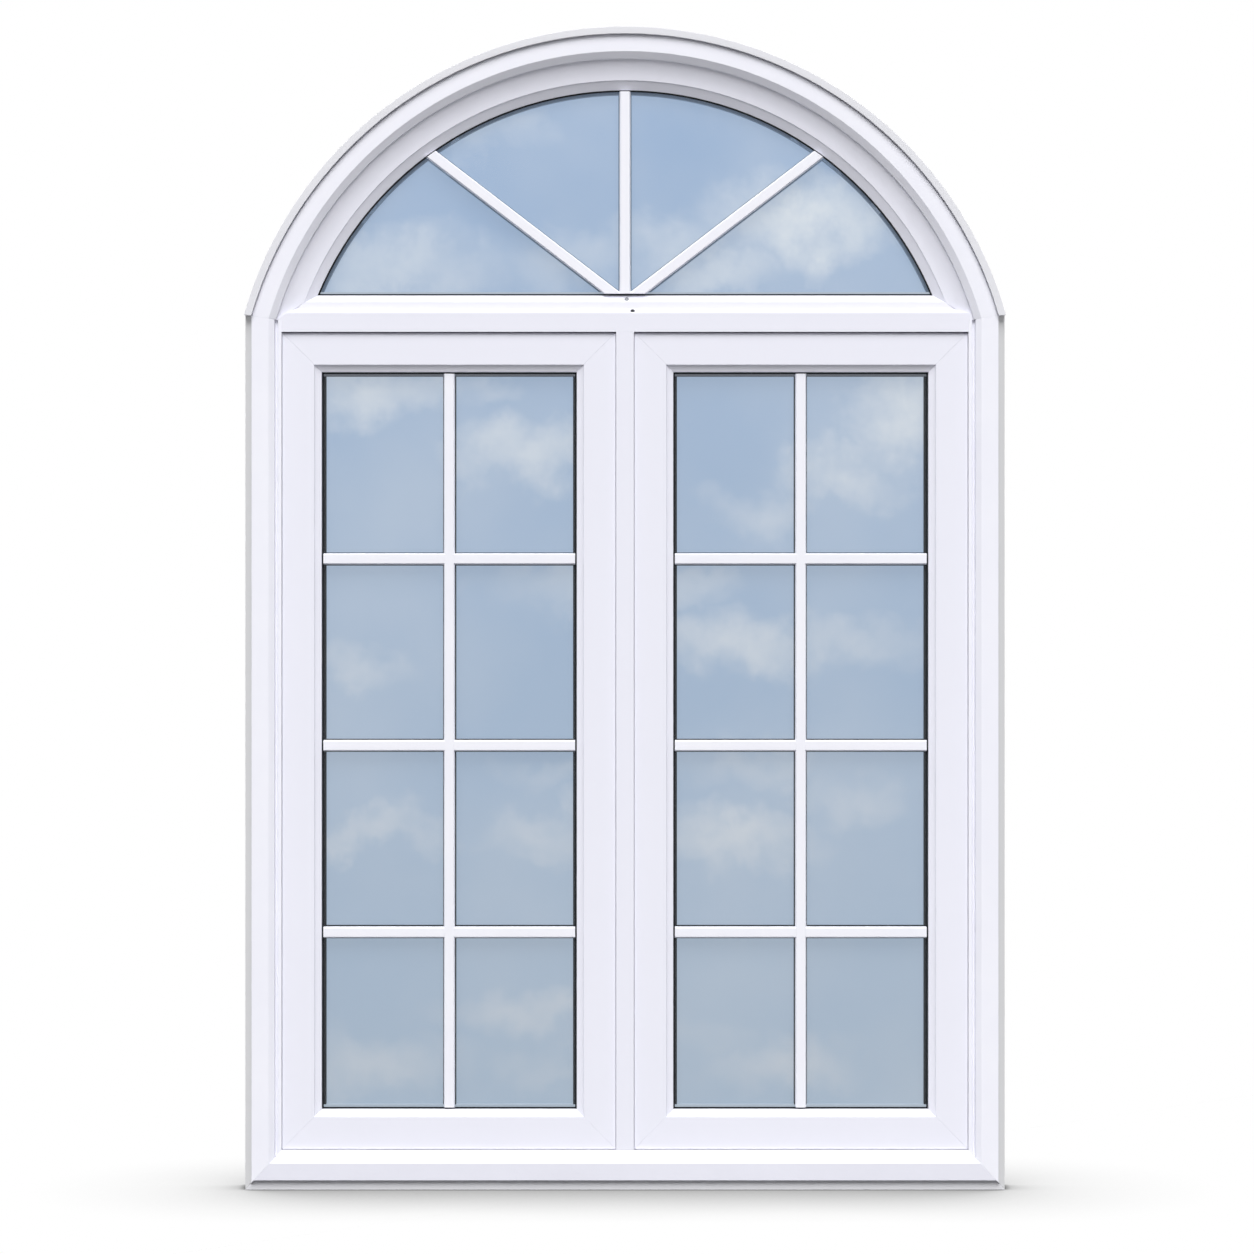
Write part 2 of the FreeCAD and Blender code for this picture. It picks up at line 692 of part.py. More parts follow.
def build_handle(label, across):
    """Inside handle: plate on the stile, neck and hanging lever."""
    height = sash_foot + sash_height * size_of["handle_height"]
    body = new_body(label, (across, at_depth(sash_back), height))
    plate = size_of["rose_thickness"]
    neck_end = plate + size_of["neck_length"]
    lever_end = neck_end + size_of["lever_thickness"] / 2
    lever_start = lever_end - size_of["lever_thickness"]
    half_rose = size_of["rose_width"] / 2
    half_length = size_of["rose_length"] / 2
    half_lever = size_of["lever_width"] / 2
    blocks = (
        (ZERO, plate, [(-half_rose, -half_length), (half_rose, -half_length),
                       (half_rose, half_length), (-half_rose, half_length)]),
        (lever_start, lever_end, [(half_lever * -0.75, -size_of["lever_length"]),
                                  (half_lever * 0.75, -size_of["lever_length"]),
                                  (half_lever, half_lever), (-half_lever, half_lever)]),
    )
    plate_sketch, lever_sketch = (new_sketch(body, "XZ_Plane", -(front + back) / 2) for front, back, _ in blocks)
    draw_outline(plate_sketch, blocks[0][2])
    pad(body, plate_sketch, plate)
    neck = new_sketch(body, "XZ_Plane", -(lever_end + plate) / 2)
    radius = size_of["neck_radius"]
    ring = Part.Circle(FreeCAD.Vector(0, 0, 0), FreeCAD.Vector(0, 0, 1), radius.number)
    circle = neck.addGeometry(ring, False)
    neck.addConstraint(Sketcher.Constraint("Coincident", circle, 3, -1, 1))
    bind(neck, Sketcher.Constraint("Radius", circle, radius.number), radius.formula)
    pad(body, neck, lever_end - plate)
    draw_outline(lever_sketch, blocks[1][2])
    pad(body, lever_sketch, lever_end - lever_start)
    return keep(body)


for side, sign in (("left", -1), ("right", 1)):
    centre = sash_centre * sign
    outer_edge = sash_left * sign
    inner_edge = sash_right * sign
    rails = (
        ("top", sash_width, (centre, 0, sash_head), 180),
        ("bottom", sash_width, (centre, 0, sash_foot), 0),
        ("outer", sash_height, (outer_edge, 0, sash_middle), -90 * sign),
        ("inner", sash_height, (inner_edge, 0, sash_middle), 90 * sign),
    )
    beads = {"rail": [], "stile": []}
    square_mitres = (as_size(1), as_size(1))
    for part, length, place, turn in rails:
        kind = "rail" if part in ("top", "bottom") else "stile"
        corners, hollow_edge = (top_section, 4) if part == "top" else (sash_section, 2)
        keep(mitred_rail(f"{side}_sash_{part}_{kind}", corners, length, leg_edge, square_mitres,
                         place, turn, {hollow_edge: leg_hollow}))
        beads[kind].append(mitred_rail(f"{side}_sash_{part}_bead", bead_section, length, leg_edge,
                                       square_mitres, place, turn))
    for kind, pair in beads.items():
        pair_of_beads = doc.addObject("Part::Compound", f"{side}_sash_{kind}_beads")
        pair_of_beads.Label = f"{side}_sash_{kind}_beads"
        pair_of_beads.Links = pair
        keep(pair_of_beads)
    middle = (centre, 0, sash_middle)
    glaze(f"{side}_sash", middle, draw_sash_rectangle, glass_edge, leg_edge)
    sash_spacer(f"{side}_sash_spacer", middle)
    seal_outer = size_of["seal_margin"]
    flat_pieces(f"{side}_sash_weather_seal", middle, draw_sash_rectangle, [
        (sash_back, stop_front, seal_outer, seal_outer + size_of["seal_width"]),
    ])
    uprights = new_body(f"{side}_sash_upright_bars", middle)
    upright_profile = new_sketch(uprights, "XY_Plane")
    for corners in bar_corners(ZERO, False):
        draw_outline(upright_profile, corners)
    pad(uprights, upright_profile, clear_height)
    keep(uprights)
    cross_blank = new_body(f"{side}_sash_cross_blank", middle)
    cross_profile = new_sketch(cross_blank, "YZ_Plane")
    for corners in bar_corners(lowest_bar, True):
        draw_outline(cross_profile, corners)
    lowest = pad(cross_blank, cross_profile, clear_width)
    rows = cross_blank.newObject("PartDesign::LinearPattern", f"{side}_sash_rows")
    rows.Originals = [lowest]
    rows.Direction = (plane_of(cross_blank, "Z_Axis"), [""])
    rows.Occurrences = 3
    rows.Length = row_pitch.number * 2
    rows.setExpression("Length", (row_pitch * 2).formula)
    cross_blank.Tip = rows
    doc.recompute()
    keep(boolean("Cut", f"{side}_sash_cross_bars", cross_blank, uprights))
    build_handle(f"{side}_sash_handle", (sash_right + rebate_floor * 0.57) * sign)

# Fanlight glazing and radial bars
fan_place = (0, 0, arch_centre)
glaze("fanlight", fan_place, draw_fan_segment, -size_of["glass_cover"], ZERO)
clear_segment = new_body("fanlight_clear_segment", fan_place)
clear_sketch = new_sketch(clear_segment, "XZ_Plane")
draw_fan_segment(clear_sketch, size_of["gasket_nose"])
pad(clear_segment, clear_sketch, frame_depth * 2)


def upright_blank(label, outlines):
    """Bar through the crown, longer than it will be."""
    body = new_body(label, fan_place)
    profile = new_sketch(body, "XY_Plane")
    for corners in outlines:
        draw_outline(profile, corners)
    pad(body, profile, arch_radius, False)
    return body


def radial_blank(label, sign, outlines):
    """Bar leaning out from the hub, longer than it will be."""
    body = new_body(label, (0, 0, low_sight - size_of["hub_drop"]))
    lean = size_of["radial_angle"]
    body.Placement.Rotation = FreeCAD.Rotation(FreeCAD.Vector(0, -sign, 0), lean.number)
    body.setExpression("Placement.Rotation.Angle", lean.formula)
    profile = new_sketch(body, "YZ_Plane")
    for corners in outlines:
        draw_outline(profile, corners)
    add_feature(body, "Pad", profile, Length=arch_radius, Reversed=sign < 0)
    return body


half_grid = size_of["spacer_grid"] / 2
grid_near = at_depth(cavity_front)
grid_far = at_depth(cavity_back)
grid_upright = [(-half_grid, grid_near), (half_grid, grid_near), (half_grid, grid_far), (-half_grid, grid_far)]
grid_level = [(depth, across) for across, depth in grid_upright]
centre_blank = upright_blank("fanlight_centre_blank", bar_corners(ZERO, False))
centre_bars = keep(boolean("Common", "fanlight_centre_bars", centre_blank, clear_segment))
grid = upright_blank("fanlight_grid_centre", [grid_upright])
for side, sign in (("left", -1), ("right", 1)):
    radial = radial_blank(f"fanlight_{side}_blank", sign, bar_corners(ZERO, True))
    trimmed = boolean("Common", f"fanlight_{side}_trimmed", radial, clear_segment)
    keep(boolean("Cut", f"fanlight_{side}_radial_bars", trimmed, centre_bars))
    spoke = radial_blank(f"fanlight_{side}_spoke", sign, [grid_level])
    grid = boolean("Fuse", f"fanlight_grid_{side}", grid, spoke)

spacer_outer = size_of["spacer_margin"] - size_of["glass_cover"]
spacer_field = new_body("fanlight_spacer_field", fan_place)
spacer_ring = new_body("fanlight_spacer_ring", fan_place)
cavity_middle = -at_depth((cavity_front + cavity_back) / 2)
for body, insets in ((spacer_field, [spacer_outer]),
                     (spacer_ring, [spacer_outer, spacer_outer + size_of["spacer_width"]])):
    outline = new_sketch(body, "XZ_Plane", cavity_middle)
    for inset in insets:
        draw_fan_segment(outline, inset)
    pad(body, outline, cavity_back - cavity_front)
grid = boolean("Common", "fanlight_grid", grid, spacer_field)
keep(boolean("Fuse", "fanlight_spacer", spacer_ring, grid))

doc.recompute()
for item in doc.Objects:
    if "Invalid" in item.State or "Error" in item.State:
        raise RuntimeError(f"{item.Label}: {item.State}")
for label, piece in nodes.items():
    if piece.Shape.isNull() or not piece.Shape.isValid() or not piece.Shape.Solids:
        raise RuntimeError(f"{label}: no valid solid")

os.makedirs("parts", exist_ok=True)
for label, piece in nodes.items():
    piece.Shape.exportStep(f"parts/{label}.step")
    print(label, len(piece.Shape.Solids), round(piece.Shape.Volume / 1000.0, 1))
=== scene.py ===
"""Finishes for an arched window: white sections, dark gaskets, panes with a painted sky reflection, and a
pale studio.
"""

import math

import bmesh
import bpy
from bpy.props import FloatProperty, FloatVectorProperty, PointerProperty
from mathutils import Matrix, Vector


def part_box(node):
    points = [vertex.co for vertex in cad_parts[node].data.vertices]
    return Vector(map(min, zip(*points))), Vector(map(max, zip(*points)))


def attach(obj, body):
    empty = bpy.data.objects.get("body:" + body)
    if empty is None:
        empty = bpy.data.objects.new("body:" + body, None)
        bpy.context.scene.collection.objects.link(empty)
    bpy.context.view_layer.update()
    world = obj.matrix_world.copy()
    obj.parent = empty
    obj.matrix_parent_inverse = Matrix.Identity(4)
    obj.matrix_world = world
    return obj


bl_info = {
    "name": "Arched Window Finishes",
    "version": (1, 0, 0),
    "blender": (4, 5, 0),
    "location": "View3D > Sidebar > Window",
    "description": "Materials, trim and studio for an arched window with a fanlight and two sashes",
    "category": "Object",
}

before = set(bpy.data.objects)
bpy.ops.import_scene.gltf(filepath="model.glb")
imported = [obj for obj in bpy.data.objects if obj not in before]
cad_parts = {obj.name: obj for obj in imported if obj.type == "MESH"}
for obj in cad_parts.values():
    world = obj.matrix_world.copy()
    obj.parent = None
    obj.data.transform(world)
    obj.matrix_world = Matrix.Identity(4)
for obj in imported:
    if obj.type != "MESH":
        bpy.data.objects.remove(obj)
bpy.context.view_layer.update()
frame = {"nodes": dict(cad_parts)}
MM = 0.001
IMAGE_SIDE = 1254
SIDES = ("left", "right")
HALF_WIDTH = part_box("right_jamb")[1].x
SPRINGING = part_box("right_jamb")[1].z
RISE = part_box("arched_head")[1].z - SPRINGING
ARCH_RADIUS = (HALF_WIDTH ** 2 + RISE ** 2) / (2 * RISE)
ARCH_CENTRE = SPRINGING + RISE - ARCH_RADIUS
PANE_LOW, PANE_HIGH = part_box("left_sash_inner_pane")[0].z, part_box("fanlight_inner_pane")[1].z

# Painted reflection of cloud banks in the panes: middle across and up, half width, half height (metres),
# strength.
PAINTED_CLOUDS = (
    (0.34, 1.79, 0.18, 0.08, 0.95), (-0.42, 1.70, 0.19, 0.06, 0.6), (0.18, 1.70, 0.13, 0.05, 0.65),
    (-0.08, 1.72, 0.14, 0.06, 0.4), (0.08, 1.75, 0.10, 0.06, 0.55), (-0.24, 1.95, 0.14, 0.05, 0.4),
    (-0.17, 1.36, 0.15, 0.06, 0.8), (-0.47, 1.48, 0.17, 0.06, 0.8), (-0.27, 1.48, 0.09, 0.03, 0.4),
    (-0.13, 1.10, 0.10, 0.05, 0.45), (-0.50, 0.96, 0.11, 0.05, 0.6), (-0.34, 1.12, 0.12, 0.03, 0.2),
    (-0.47, 0.66, 0.14, 0.04, 0.65), (-0.15, 0.66, 0.13, 0.05, 0.6), (-0.13, 0.76, 0.10, 0.03, 0.3),
    (-0.19, 0.33, 0.14, 0.045, 0.55), (-0.47, 0.22, 0.14, 0.05, 0.5), (-0.14, 0.23, 0.12, 0.03, 0.3),
    (0.50, 1.42, 0.11, 0.09, 0.9), (0.40, 1.31, 0.12, 0.07, 0.75), (0.26, 1.24, 0.11, 0.06, 0.55),
    (0.12, 1.11, 0.11, 0.04, 0.5), (0.22, 1.00, 0.17, 0.05, 0.7), (0.40, 1.01, 0.14, 0.05, 0.55),
    (0.25, 0.78, 0.14, 0.05, 0.5), (0.20, 0.64, 0.17, 0.06, 0.8), (0.43, 0.72, 0.13, 0.06, 0.5),
    (0.29, 0.22, 0.15, 0.05, 0.55), (0.14, 0.28, 0.10, 0.04, 0.3),
)
# Stretches of painted open sky where the painted haze thins out, laid out as the cloud banks are.
PAINTED_CLEARINGS = ((0.10, 1.93, 0.12, 0.10, 1.0), (0.16, 1.36, 0.12, 0.12, 0.7))
# A bank fades out at this many half widths, and runs right through the thickness of the pane.
BANK_EDGE, BANK_DEPTH = 1.7, 1000

# Where the painted shade on a lip starts, outwards from its step: just past it on the jambs, just short on
# the head.
JAMB_LIP_SHADE_START, HEAD_LIP_SHADE_START = 0.2 * MM, -0.8 * MM
# Softened edges: points closer than the gap are joined, and edges that turn more than the limit are rounded.
WELD_GAP, SHARP_EDGE, FLAT_WEIGHT = 0.01 * MM, math.radians(18), 100
# Screw plugs: name, colour, place from the foot of the bottom moulding, and lean back in degrees.
PLUGS = (
    ("upper_screw_plug", "plug_pale", (3.2 * MM, 18.9 * MM, 27.2 * MM), 39),
    ("lower_screw_plug", "plug_dark", (14.1 * MM, 6.2 * MM, 4.2 * MM), 46),
)
FLOOR_HALF = 200  # metres
FOOT_OF_WALL = 0.5  # share of the sky that the floor sees at the foot of a wall


def linear(code):
    """Linear colour of an sRGB hex code."""
    channels = [int(code[start:start + 2], 16) / 255 for start in (0, 2, 4)]
    return tuple(c / 12.92 if c <= 0.04045 else ((c + 0.055) / 1.055) ** 2.4 for c in channels)


def add_node(tree, kind, inputs=None, **settings):
    """Add a node, set its properties, and give its inputs values or links."""
    node = tree.nodes.new(kind)
    for name, value in settings.items():
        setattr(node, name, value)
    for name, value in (inputs or {}).items():
        if isinstance(value, bpy.types.NodeSocket):
            tree.links.new(value, node.inputs[name])
        else:
            node.inputs[name].default_value = value
    return node


def blank_material(name):
    """A material with only its output node."""
    material = bpy.data.materials.new(name)
    material.use_nodes = True
    tree = material.node_tree
    tree.nodes.clear()
    return material, tree, tree.nodes.new("ShaderNodeOutputMaterial")


def per_metre(size_mm):
    """Texture scale for a pattern of this real size."""
    return 1000 / size_mm


class WindowSizes(bpy.types.PropertyGroup):
    """Small sizes that only the eye needs."""

    arris: FloatProperty(name="Arris", description="Rounding on section edges", default=0.6 * MM,
                         unit="LENGTH")
    bar_arris: FloatProperty(name="Bar arris", description="Rounding on glazing bars", default=0.5 * MM,
                             unit="LENGTH")
    gasket_round: FloatProperty(name="Gasket round", description="Rounding on the gasket noses",
                                default=0.9 * MM, unit="LENGTH")
    handle_round: FloatProperty(name="Handle round", description="Rounding on the handles", default=3 * MM,
                                unit="LENGTH")
    plug_radius: FloatProperty(name="Plug radius", description="Screw plugs on the bottom moulding",
                               default=4.4 * MM, unit="LENGTH")
    # The lip widths place the lips' painted shade; the lips keep the sections' sheen and are greyer only in
    # colour.
    lip: FloatProperty(name="Lip", description="Matt outer lip of jambs and head", default=13 * MM,
                       unit="LENGTH")
    sill_lip_shade: FloatProperty(name="Sill lip", description="Matt outer lip of the sill", default=18.4 * MM,
                            unit="LENGTH")
    spacer_width: FloatProperty(name="Spacer", description="Width of the spacer bar's level runs",
                                default=12.5 * MM, unit="LENGTH")


class WindowColours(bpy.types.PropertyGroup):
    """Colours of the finishes."""

    frame: FloatVectorProperty(name="Frame", description="White jambs and head", subtype="COLOR",
                               default=linear("F5F5FC"))
    upvc: FloatVectorProperty(name="Sections", description="White extruded sections", subtype="COLOR",
                              default=linear("EDEDF7"))
    upvc_warm: FloatVectorProperty(name="Section mottle", description="Faint mottle in the sections",
                                   subtype="COLOR", default=linear("EAEAF4"))
    sill: FloatVectorProperty(name="Sill", description="Sill section, a little greyer", subtype="COLOR",
                              default=linear("E3E3ED"))
    # Lip colours are painted shade: greyer where the lips lie in shade, with the same sheen as the sections.
    lip: FloatVectorProperty(name="Lip", description="Matt outer lip of the jambs", subtype="COLOR",
                             default=linear("E0E0E2"))
    sill_lip_shade: FloatVectorProperty(name="Sill lip", description="Matt outer lip of the sill", subtype="COLOR",
                                  default=linear("D2D2D6"))
    head_lip_shade: FloatVectorProperty(name="Head lip", description="Matt outer lip of the head", subtype="COLOR",
                                  default=linear("E2E2E7"))
    bar: FloatVectorProperty(name="Bars", description="White glazing bars", subtype="COLOR",
                             default=linear("F6F6FB"))
    gasket: FloatVectorProperty(name="Gaskets", description="Black rubber", subtype="COLOR",
                                default=linear("141517"))
    gasket_dust: FloatVectorProperty(name="Gasket bloom", description="Pale bloom on the rubber",
                                     subtype="COLOR", default=linear("222428"))
    spacer: FloatVectorProperty(name="Sash spacers", description="Black anodised spacer bar", subtype="COLOR",
                                default=linear("22252A"))
    # Painted reflection: the fanlight bar's blue-grey and the sash bars' lighter level runs stand in for sky
    # mirrored on the metal.
    fan_spacer_reflection: FloatVectorProperty(name="Fanlight spacer", description="Blue-grey anodised spacer bar",
                                    subtype="COLOR", default=linear("5C697B"))
    spacer_head_reflection: FloatVectorProperty(name="Spacer head", description="Upper run of the sash spacers",
                                     subtype="COLOR", default=linear("676B73"))
    spacer_lit: FloatVectorProperty(name="Lit spacer", subtype="COLOR", default=linear("A9B4C1"),
                                    description="Lower run of the spacer, which faces the sky")
    # Painted reflection: the panes' sky and cloud tones stand in for the sky the glass mirrors.
    reflected_sky_high: FloatVectorProperty(name="Upper sky", description="Pane tone at the crown", subtype="COLOR",
                                  default=linear("9BB3D3"))
    reflected_sky_low: FloatVectorProperty(name="Lower sky", description="Pane tone at the sill", subtype="COLOR",
                                 default=linear("A2B2C4"))
    reflected_cloud_high: FloatVectorProperty(name="Upper cloud", description="Pale veils at the crown",
                                    subtype="COLOR", default=linear("DCE3EB"))
    reflected_cloud_low: FloatVectorProperty(name="Lower cloud", description="Greyer veils at the sill",
                                   subtype="COLOR", default=linear("C4C8CE"))
    handle: FloatVectorProperty(name="Handles", description="White powder coat", subtype="COLOR",
                                default=linear("EDEDF0"))
    plug_pale: FloatVectorProperty(name="Upper plug", description="Grey screw plug", subtype="COLOR",
                                   default=linear("8F9198"))
    plug_dark: FloatVectorProperty(name="Lower plug", description="Dark screw plug", subtype="COLOR",
                                   default=linear("1E1E22"))


class StageSettings(bpy.types.PropertyGroup):
    """Camera and light."""

    distance: FloatProperty(name="Camera distance", description="From the frame's face", default=7.0,
                            unit="LENGTH")
    pixel: FloatProperty(name="Pixel", description="Width of one picture pixel at the frame's face",
                         default=1.839 * MM, unit="LENGTH")
    key: FloatProperty(name="Key", description="Broad soft light from high in front", default=3.7)
    key_height: FloatProperty(name="Key height", description="Angle of the key above level",
                              default=math.radians(50), subtype="ANGLE")
    fill: FloatProperty(name="Fill", description="Soft light on the inside face", default=2.3)
    fill_height: FloatProperty(name="Fill height", description="Angle of the fill above level",
                               default=math.radians(10), subtype="ANGLE")
    spread: FloatProperty(name="Spread", description="Apparent width of the lights, for soft shadows",
                          default=math.radians(45), subtype="ANGLE")
    side: FloatProperty(name="Sides", description="Glancing glow from left and right", default=0.6)
    ambient: FloatProperty(name="Ambient", description="Even light from all round", default=0.18)
    bounce: FloatProperty(name="Floor bounce", description="Floor's lightness to the window", default=0.18)
    shade_reach: FloatProperty(name="Shade reach", description="Reach of the soft shade at the window's foot",
                               default=0.4, unit="LENGTH")
    shade: FloatProperty(name="Shade", description="Floor's lightness where it meets the window",
                         default=0.42)
    contact_reach: FloatProperty(name="Contact reach", description="Reach of the dark line under the sill",
                                 default=15 * MM, unit="LENGTH")
    contact: FloatProperty(name="Contact", description="Floor's lightness in the line under the sill",
                           default=0.4)


def extruded_upvc(name, base, mottle, run, lip=None):
    """Extruded, satin white plastic: a soft even sheen, faint draw lines along the run, a trace of mottle.

    run is the direction of the section, "X" or "Z", or "ARC" around the arch;
    lip is the colour and place of a greyer outer lip; its grey is painted shade.
    """
    material, tree, output = blank_material(name)
    place = add_node(tree, "ShaderNodeTexCoord").outputs["Object"]
    split = add_node(tree, "ShaderNodeSeparateXYZ", {"Vector": place})
    if run == "ARC":
        rise = add_node(tree, "ShaderNodeMath", {0: split.outputs["Z"], 1: ARCH_CENTRE}, operation="SUBTRACT")
        flat = add_node(tree, "ShaderNodeCombineXYZ", {"X": split.outputs["X"], "Y": rise.outputs[0]})
        radius = add_node(tree, "ShaderNodeVectorMath", {0: flat.outputs[0]}, operation="LENGTH")
        outward = radius.outputs["Value"]
    elif run == "Z":
        outward = add_node(tree, "ShaderNodeMath", {0: split.outputs["X"]}, operation="ABSOLUTE").outputs[0]
    else:
        below = add_node(tree, "ShaderNodeMath", {0: split.outputs["Z"], 1: -1}, operation="MULTIPLY")
        outward = below.outputs[0]
    lines_place = add_node(tree, "ShaderNodeCombineXYZ", {"X": outward, "Y": split.outputs["Y"]})
    # Draw lines about 3 mm apart: the real ones are finer, but would not show.
    lines = add_node(tree, "ShaderNodeTexNoise", {"Vector": lines_place.outputs[0], "Scale": per_metre(3.0),
                                                  "Detail": 2.0, "Roughness": 0.5})
    # Mottle over a hand's width, as resin and pigment vary.
    mottled = add_node(tree, "ShaderNodeTexNoise", {"Vector": place, "Scale": per_metre(90.0), "Detail": 3.0})
    blend = add_node(tree, "ShaderNodeMix", {"Factor": mottled.outputs["Fac"], "A": (*base, 1),
                                             "B": (*mottle, 1)}, data_type="RGBA")
    colour = blend.outputs["Result"]
    # Painted shade: the outer lip gets a greyer colour for the shade it lies in.
    if lip:
        lip_shade_colour, lip_start = lip
        in_lip_shade = add_node(tree, "ShaderNodeMath", {0: outward, 1: lip_start}, operation="GREATER_THAN")
        colour = add_node(tree, "ShaderNodeMix", {"Factor": in_lip_shade.outputs[0], "A": colour,
                                                  "B": (*lip_shade_colour, 1)}, data_type="RGBA").outputs["Result"]
    # Orange-peel grain of a moulded skin, drawn at 2 mm so that it shows.
    peel = add_node(tree, "ShaderNodeTexNoise", {"Vector": place, "Scale": per_metre(2.0), "Detail": 1.0})
    sheen = add_node(tree, "ShaderNodeMapRange", {"Value": mottled.outputs["Fac"], "From Min": 0.3,
                                                  "From Max": 0.7, "To Min": 0.30, "To Max": 0.40})
    relief = add_node(tree, "ShaderNodeBump", {"Height": lines.outputs["Fac"], "Strength": 0.02,
                                               "Distance": 0.3 * MM})
    skin = add_node(tree, "ShaderNodeBump", {"Height": peel.outputs["Fac"], "Normal": relief.outputs[0],
                                             "Strength": 0.02, "Distance": 0.2 * MM})
    shader = add_node(tree, "ShaderNodeBsdfPrincipled", {"Base Color": colour, "IOR": 1.53,
                                                         "Roughness": sheen.outputs["Result"],
                                                         "Normal": skin.outputs[0]})
    tree.links.new(shader.outputs[0], output.inputs["Surface"])
    return material


def black_rubber(colours):
    """Extruded EPDM rubber: deep black, dull, with a pale bloom in patches."""
    material, tree, output = blank_material("EPDM rubber gasket")
    place = add_node(tree, "ShaderNodeTexCoord").outputs["Object"]
    # Bloom in finger-wide patches.
    bloom = add_node(tree, "ShaderNodeTexNoise", {"Vector": place, "Scale": per_metre(25.0), "Detail": 4.0})
    blend = add_node(tree, "ShaderNodeMix", {"Factor": bloom.outputs["Fac"], "A": (*colours.gasket, 1),
                                             "B": (*colours.gasket_dust, 1)}, data_type="RGBA")
    rough = add_node(tree, "ShaderNodeMapRange", {"Value": bloom.outputs["Fac"], "To Min": 0.5,
                                                  "To Max": 0.75})
    shader = add_node(tree, "ShaderNodeBsdfPrincipled", {"Base Color": blend.outputs["Result"],
                                                         "Roughness": rough.outputs["Result"], "IOR": 1.5,
                                                         "Specular IOR Level": 0.15})
    tree.links.new(shader.outputs[0], output.inputs["Surface"])
    return material


def spacer_metal(name, colours, colour, head, span):
    """Anodised aluminium spacer bar: dark, satin, with fine drying holes; its level runs are painted lighter,
    standing in for the sky light they catch.

    head is the painted reflection colour of the upper run, span the heights between the lower and the upper
    run.
    """
    material, tree, output = blank_material(name)
    place = add_node(tree, "ShaderNodeTexCoord").outputs["Object"]
    # Drying holes every 4 mm, drawn larger than the real pin pricks so that they show.
    holes = add_node(tree, "ShaderNodeTexVoronoi", {"Vector": place, "Scale": per_metre(4.0),
                                                    "Randomness": 0.0})
    dark = add_node(tree, "ShaderNodeMapRange", {"Value": holes.outputs["Distance"], "From Min": 0.1,
                                                 "From Max": 0.2, "To Min": 0.4, "To Max": 1.0})
    blend = add_node(tree, "ShaderNodeMix", {"Factor": dark.outputs["Result"], "A": (*colours.gasket, 1),
                                             "B": (*colour, 1)}, data_type="RGBA")
    height = add_node(tree, "ShaderNodeSeparateXYZ", {"Vector": place}).outputs["Z"]
    tone = blend
    # Painted light: the lower run is lighter and the upper run greyer than the uprights.
    for edge, side, lit in ((span[0], "LESS_THAN", colours.spacer_lit), (span[1], "GREATER_THAN", head)):
        beyond = add_node(tree, "ShaderNodeMath", {0: height, 1: edge}, operation=side)
        tone = add_node(tree, "ShaderNodeMix", {"Factor": beyond.outputs[0], "A": tone.outputs["Result"],
                                                "B": (*lit, 1)}, data_type="RGBA")
    # Painted reflection: like the pane beside it, the bar glows with emission that stands in for the sky it
    # reflects, more than it shows the light that falls on it.
    body = add_node(tree, "ShaderNodeVectorMath", {0: tone.outputs["Result"], "Scale": 0.3},
                    operation="SCALE")
    shader = add_node(tree, "ShaderNodeBsdfPrincipled", {"Base Color": body.outputs[0], "Metallic": 0.3,
                                                         "Emission Color": tone.outputs["Result"],
                                                         "Emission Strength": 0.75, "Roughness": 0.45})
    tree.links.new(shader.outputs[0], output.inputs["Surface"])
    return material


def clear_float_glass():
    """Low-reflection float glass: clear straight on, with a mirror shine that grows to a glancing look."""
    material, tree, output = blank_material("Clear low-reflection float glass")
    clear = add_node(tree, "ShaderNodeBsdfTransparent", {"Color": (0.985, 0.99, 0.99, 1)})
    shine = add_node(tree, "ShaderNodeBsdfGlossy", {"Color": (1, 1, 1, 1), "Roughness": 0.0})
    # Facing is the same on both faces of the sheet, so a glancing look still passes out through the far one.
    straight_on, steepness = 0.005, 5.0
    facing = add_node(tree, "ShaderNodeLayerWeight", {"Blend": 0.5}).outputs["Facing"]
    steep = add_node(tree, "ShaderNodeMath", {0: facing, 1: steepness}, operation="POWER")
    edge = add_node(tree, "ShaderNodeMapRange", {"Value": steep.outputs[0], "To Min": straight_on,
                                                 "To Max": 1.0})
    both = add_node(tree, "ShaderNodeMixShader", {0: edge.outputs["Result"], 1: clear.outputs[0],
                                                  2: shine.outputs[0]})
    tree.links.new(both.outputs[0], output.inputs["Surface"])
    return material


def bank_density(tree, place, bank):
    """Density of one soft-edged bank, from its strength in the middle down to nothing."""
    across, up, wide, tall, strength = bank
    centred = add_node(tree, "ShaderNodeMapping", {"Vector": place, "Location": (across, 0, up),
                                                   "Scale": (wide, BANK_DEPTH, tall)}, vector_type="TEXTURE")
    reach = add_node(tree, "ShaderNodeVectorMath", {0: centred.outputs[0]}, operation="LENGTH")
    return add_node(tree, "ShaderNodeMapRange", {"Value": reach.outputs["Value"], "From Min": BANK_EDGE,
                                                 "From Max": 0.0, "To Max": strength},
                    interpolation_type="SMOOTHSTEP").outputs["Result"]


